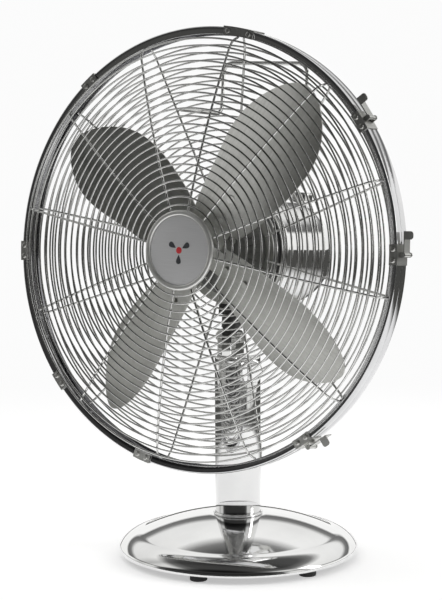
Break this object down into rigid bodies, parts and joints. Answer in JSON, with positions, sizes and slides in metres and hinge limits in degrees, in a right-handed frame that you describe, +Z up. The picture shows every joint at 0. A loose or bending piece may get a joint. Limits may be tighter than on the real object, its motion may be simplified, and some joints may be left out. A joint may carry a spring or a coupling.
{
  "type": "desk fan",
  "caption": "Desk fan with a round wire cage, riveted paddle blades, chromed motor, tilting oscillating head and a round weighted base.",
  "frame": {"origin": "centre of the base on the table", "axes": "+Z up, the fan blows towards -Y"},
  "size_m": [0.4417, 0.2502, 0.5259],
  "materials": {
    "chrome": "polished",
    "wire_chrome": "polished",
    "satin_steel": "satin",
    "blade_aluminium": "satin",
    "dark_paint": "satin",
    "grey_casting": "matte",
    "rubber": "matte",
    "iron": "matte",
    "brass": "satin",
    "black_plastic": "matte"
  },
  "bodies": {
    "stand": {"base_cover": "chrome", "base_plate": "dark_paint", "base_weight": "iron", "rubber_feet": "rubber", "base_socket": "grey_casting", "base_screws": "satin_steel", "cable_gland": "black_plastic", "column_tube": "chrome", "column_collar": "chrome", "column_head": "chrome", "tilt_bolt": "satin_steel", "tilt_nut": "satin_steel", "switch_body": "black_plastic"},
    "speed_dial": {"speed_knob": "chrome", "switch_spindle": "satin_steel"},
    "neck": {"neck_bracket": "dark_paint", "link_pin": "satin_steel", "oscillation_link": "satin_steel", "thrust_washer": "satin_steel"},
    "head": {"front_shield": "dark_paint", "shaft_bushes": "brass", "bearing_cap": "grey_casting", "bezel_ring": "chrome", "motor_cover": "chrome", "stator": "grey_casting", "windings": "brass", "rear_shield": "grey_casting", "motor_bolts": "satin_steel", "gearbox_body": "grey_casting", "front_grille_spokes": "wire_chrome", "front_grille_rings": "wire_chrome", "front_grille_plate": "satin_steel", "front_rim": "chrome", "rear_grille_spokes": "wire_chrome", "rear_grille_rings": "wire_chrome", "rear_grille_plate": "satin_steel", "rear_rim": "chrome", "badge_cup": "chrome", "badge_face": "satin_steel", "grille_screws": "satin_steel", "rim_brackets": "satin_steel", "rim_rivets": "satin_steel", "latch_posts": "satin_steel", "carry_handle": "wire_chrome"},
    "rotor": {"motor_shaft": "satin_steel", "rotor_core": "grey_casting", "worm": "brass", "fan_hub": "satin_steel", "blade_1": "blade_aluminium", "blade_2": "blade_aluminium", "blade_3": "blade_aluminium", "blade_4": "blade_aluminium", "blade_rivets": "satin_steel", "blade_nut": "chrome"},
    "oscillation_gear": {"worm_wheel": "brass", "crank_spindle": "satin_steel"},
    "oscillation_pull": {"oscillation_knob": "chrome"},
    "latch_1": {"latch_lever_1": "satin_steel"},
    "latch_2": {"latch_lever_2": "satin_steel"},
    "latch_3": {"latch_lever_3": "satin_steel"}
  },
  "joints": [
    {"name": "tilt", "type": "hinge", "parent": "stand", "child": "neck", "pos_m": [0, -0.0125, 0.222], "axis": [-1, 0, 0], "range_deg": [-2, 15]},
    {"name": "oscillation", "type": "hinge", "parent": "neck", "child": "head", "pos_m": [0, -0.01049, 0.2429], "axis": [0, 0.0958, 0.9954], "range_deg": [-30, 30]},
    {"name": "rotor_spin", "type": "hinge", "parent": "head", "child": "rotor", "pos_m": [0, -0.00438, 0.30631], "axis": [0, -0.9954, 0.0958], "continuous": true},
    {"name": "gear_spin", "type": "hinge", "parent": "head", "child": "oscillation_gear", "pos_m": [0.014, 0.09615, 0.29663], "axis": [0, 0.0958, 0.9954], "continuous": true},
    {"name": "oscillation_pull_slide", "type": "slide", "parent": "head", "child": "oscillation_pull", "axis": [0, 0.0958, 0.9954], "range_m": [0, 0.006]},
    {"name": "speed_turn", "type": "hinge", "parent": "stand", "child": "speed_dial", "pos_m": [0.02598, -0.015, 0.1895], "axis": [0.866, -0.5, 0], "range_deg": [0, 135]},
    {"name": "latch_1_lever", "type": "hinge", "parent": "head", "child": "latch_1", "pos_m": [0.17488, -0.04619, 0.44177], "axis": [0, 0.9954, -0.0958], "range_deg": [0, 100]},
    {"name": "latch_2_lever", "type": "hinge", "parent": "head", "child": "latch_2", "pos_m": [0.21827, -0.058, 0.31913], "axis": [0, 0.9954, -0.0958], "range_deg": [0, 100]},
    {"name": "latch_3_lever", "type": "hinge", "parent": "head", "child": "latch_3", "pos_m": [0.1296, -0.07558, 0.13656], "axis": [0, 0.9954, -0.0958], "range_deg": [0, 100]}
  ],
  "couplings": [
    {"joint": "gear_spin", "follows": "rotor_spin", "ratio": 0.05}
  ]
}
